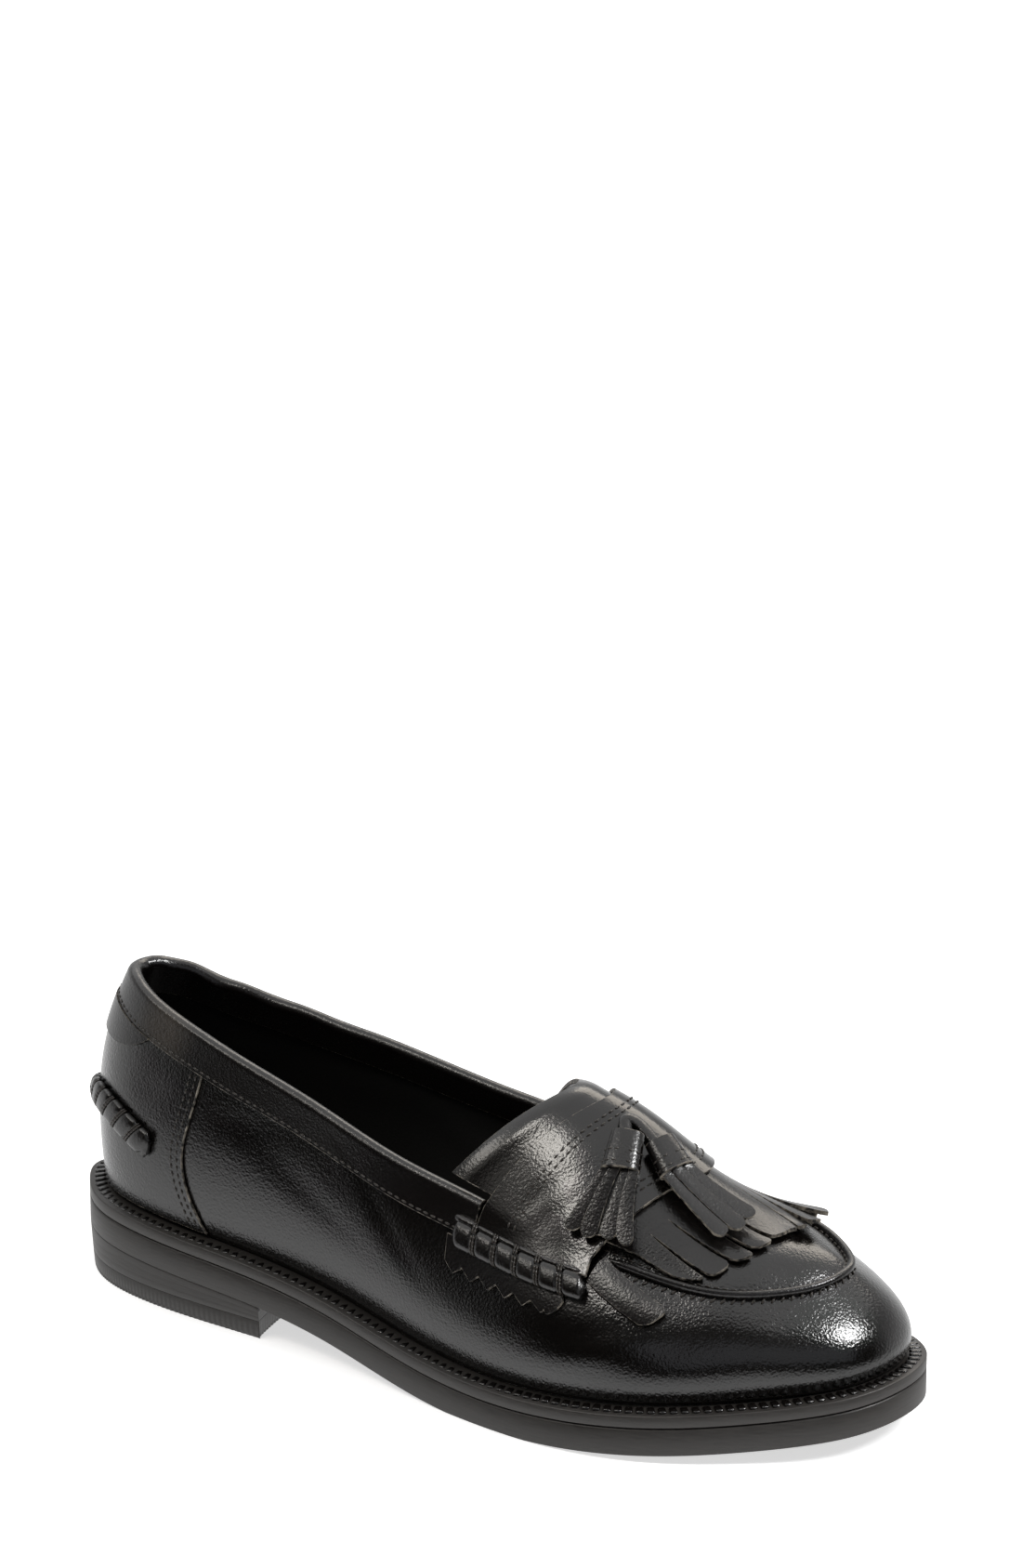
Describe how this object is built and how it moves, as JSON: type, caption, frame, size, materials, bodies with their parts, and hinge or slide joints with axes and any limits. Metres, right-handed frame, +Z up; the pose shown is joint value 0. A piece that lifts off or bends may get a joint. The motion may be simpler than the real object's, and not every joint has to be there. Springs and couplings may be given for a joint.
{
  "type": "tassel loafer",
  "caption": "Low-heeled slip-on leather shoe for the right foot, with moc-toe apron, fringed flap, tassels, welted sole and stacked heel.",
  "frame": {"origin": "on the floor under the middle of the bounding box", "axes": "+X to the toe, +Y to the inner side of the foot, +Z up"},
  "size_m": [0.262, 0.0928, 0.0907],
  "materials": {
    "upper_leather": "high-shine black leather",
    "lining_leather": "matt black lining leather",
    "sole_leather": "satin black dressed edge",
    "heel_rubber": "matt black rubber"
  },
  "bodies": {
    "root": {"outsole": "sole_leather", "welt": "sole_leather", "heel_stack": "sole_leather", "heel_top_lift": "heel_rubber", "insole": "lining_leather", "upper": "upper_leather", "tongue": "upper_leather", "collar_binding": "upper_leather", "counter": "upper_leather", "back_tab": "upper_leather", "heel_roll": "upper_leather", "saddle": "upper_leather", "kiltie": "upper_leather", "beef_roll_outer": "upper_leather", "beef_roll_inner": "upper_leather", "pinked_tab_outer": "upper_leather", "pinked_tab_inner": "upper_leather", "tassel_outer": "upper_leather", "tassel_inner": "upper_leather", "tassel_lace": "upper_leather"}
  },
  "joints": []
}
